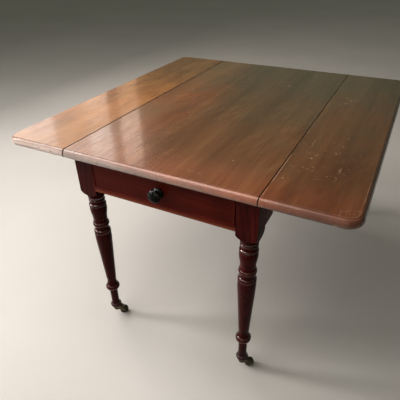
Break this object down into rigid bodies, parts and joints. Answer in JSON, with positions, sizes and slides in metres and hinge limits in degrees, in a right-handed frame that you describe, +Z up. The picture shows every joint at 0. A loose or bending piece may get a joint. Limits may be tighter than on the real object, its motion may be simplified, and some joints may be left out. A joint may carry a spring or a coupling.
{
  "type": "pembroke table",
  "caption": "Drop-leaf pembroke table with an end drawer, turned legs on brass castors, rule-jointed leaves and swing-out fly brackets.",
  "frame": {"origin": "on the floor under the middle of the top", "axes": "+Z up, the drawer end faces -Y, +Y runs along the seams, the right leaf is at +X"},
  "size_m": [1.03, 1.096, 0.706],
  "materials": {
    "top_wood": "polished mahogany, lightly worn",
    "leg_wood": "dark polished mahogany",
    "frame_wood": "dark polished mahogany",
    "drawer_wood": "dark polished mahogany",
    "inner_wood": "unfinished aged pine",
    "knob_wood": "ebonised, polished",
    "hinge_brass": "aged brass",
    "castor_brass": "aged brass",
    "steel": "dull steel"
  },
  "bodies": {
    "frame": {"top_board": "top_wood", "leg_front_left": "leg_wood", "leg_front_right": "leg_wood", "leg_back_left": "leg_wood", "leg_back_right": "leg_wood", "side_rail_left": "inner_wood", "side_rail_right": "inner_wood", "fly_rail_left": "frame_wood", "fly_rail_right": "frame_wood", "back_rail": "frame_wood", "front_top_rail": "frame_wood", "front_lower_rail": "frame_wood", "drawer_runner_left": "inner_wood", "drawer_runner_right": "inner_wood", "drawer_kicker_left": "inner_wood", "drawer_kicker_right": "inner_wood", "drawer_stops": "inner_wood", "glue_blocks": "inner_wood", "top_screws": "steel", "hinge_flaps_fixed_left": "hinge_brass", "hinge_pins_left": "steel", "hinge_screws_fixed_left": "steel", "bracket_pins_left": "steel", "hinge_flaps_fixed_right": "hinge_brass", "hinge_pins_right": "steel", "hinge_screws_fixed_right": "steel", "bracket_pins_right": "steel", "castor_stem_front_left": "castor_brass", "castor_stem_front_right": "castor_brass", "castor_stem_back_left": "castor_brass", "castor_stem_back_right": "castor_brass"},
    "leaf_left": {"leaf_left": "top_wood", "hinge_flaps_leaf_left": "hinge_brass", "hinge_screws_leaf_left": "steel"},
    "leaf_right": {"leaf_right": "top_wood", "hinge_flaps_leaf_right": "hinge_brass", "hinge_screws_leaf_right": "steel"},
    "fly_bracket_front_left": {"fly_bracket_front_left": "frame_wood"},
    "fly_bracket_front_right": {"fly_bracket_front_right": "frame_wood"},
    "fly_bracket_back_left": {"fly_bracket_back_left": "frame_wood"},
    "fly_bracket_back_right": {"fly_bracket_back_right": "frame_wood"},
    "drawer": {"drawer_front": "drawer_wood", "drawer_side_left": "inner_wood", "drawer_side_right": "inner_wood", "drawer_back": "inner_wood", "drawer_bottom": "inner_wood", "drawer_knob": "knob_wood", "drawer_bead": "drawer_wood"},
    "castor_fork_front_left": {"castor_fork_front_left": "castor_brass", "castor_axle_front_left": "steel"},
    "castor_fork_front_right": {"castor_fork_front_right": "castor_brass", "castor_axle_front_right": "steel"},
    "castor_fork_back_left": {"castor_fork_back_left": "castor_brass", "castor_axle_back_left": "steel"},
    "castor_fork_back_right": {"castor_fork_back_right": "castor_brass", "castor_axle_back_right": "steel"},
    "castor_wheel_front_left": {"castor_wheel_front_left": "castor_brass"},
    "castor_wheel_front_right": {"castor_wheel_front_right": "castor_brass"},
    "castor_wheel_back_left": {"castor_wheel_back_left": "castor_brass"},
    "castor_wheel_back_right": {"castor_wheel_back_right": "castor_brass"}
  },
  "joints": [
    {"name": "leaf_left_drop", "type": "hinge", "parent": "frame", "child": "leaf_left", "pos_m": [-0.289, 0, 0.685], "axis": [0, -1, 0], "range_deg": [0, 90]},
    {"name": "leaf_right_drop", "type": "hinge", "parent": "frame", "child": "leaf_right", "pos_m": [0.289, 0, 0.685], "axis": [0, 1, 0], "range_deg": [0, 90]},
    {"name": "fly_bracket_front_left_swing", "type": "hinge", "parent": "frame", "child": "fly_bracket_front_left", "pos_m": [-0.2744, -0.395, 0.626], "axis": [0, 0, -1], "range_deg": [-90, 0]},
    {"name": "fly_bracket_front_right_swing", "type": "hinge", "parent": "frame", "child": "fly_bracket_front_right", "pos_m": [0.2744, -0.395, 0.626], "axis": [0, 0, 1], "range_deg": [-90, 0]},
    {"name": "fly_bracket_back_left_swing", "type": "hinge", "parent": "frame", "child": "fly_bracket_back_left", "pos_m": [-0.2744, 0.395, 0.626], "axis": [0, 0, 1], "range_deg": [-90, 0]},
    {"name": "fly_bracket_back_right_swing", "type": "hinge", "parent": "frame", "child": "fly_bracket_back_right", "pos_m": [0.2744, 0.395, 0.626], "axis": [0, 0, -1], "range_deg": [-90, 0]},
    {"name": "drawer_slide", "type": "slide", "parent": "frame", "child": "drawer", "axis": [0, -1, 0], "range_m": [0, 0.33]},
    {"name": "castor_front_left_swivel", "type": "hinge", "parent": "frame", "child": "castor_fork_front_left", "pos_m": [-0.2545, -0.483, 0.037], "axis": [0, 0, 1], "continuous": true},
    {"name": "castor_front_right_swivel", "type": "hinge", "parent": "frame", "child": "castor_fork_front_right", "pos_m": [0.2545, -0.483, 0.037], "axis": [0, 0, 1], "continuous": true},
    {"name": "castor_back_left_swivel", "type": "hinge", "parent": "frame", "child": "castor_fork_back_left", "pos_m": [-0.2545, 0.483, 0.037], "axis": [0, 0, 1], "continuous": true},
    {"name": "castor_back_right_swivel", "type": "hinge", "parent": "frame", "child": "castor_fork_back_right", "pos_m": [0.2545, 0.483, 0.037], "axis": [0, 0, 1], "continuous": true},
    {"name": "castor_front_left_roll", "type": "hinge", "parent": "castor_fork_front_left", "child": "castor_wheel_front_left", "pos_m": [-0.2358, -0.46494, 0.0155], "axis": [-0.6947, 0.7193, 0], "continuous": true},
    {"name": "castor_front_right_roll", "type": "hinge", "parent": "castor_fork_front_right", "child": "castor_wheel_front_right", "pos_m": [0.27442, -0.46629, 0.0155], "axis": [-0.6428, 0.766, 0], "continuous": true},
    {"name": "castor_back_left_roll", "type": "hinge", "parent": "castor_fork_back_left", "child": "castor_wheel_back_left", "pos_m": [-0.23458, 0.49971, 0.0155], "axis": [-0.6428, 0.766, 0], "continuous": true},
    {"name": "castor_back_right_roll", "type": "hinge", "parent": "castor_fork_back_right", "child": "castor_wheel_back_right", "pos_m": [0.23154, 0.49521, 0.0155], "axis": [-0.4695, -0.8829, 0], "continuous": true}
  ]
}
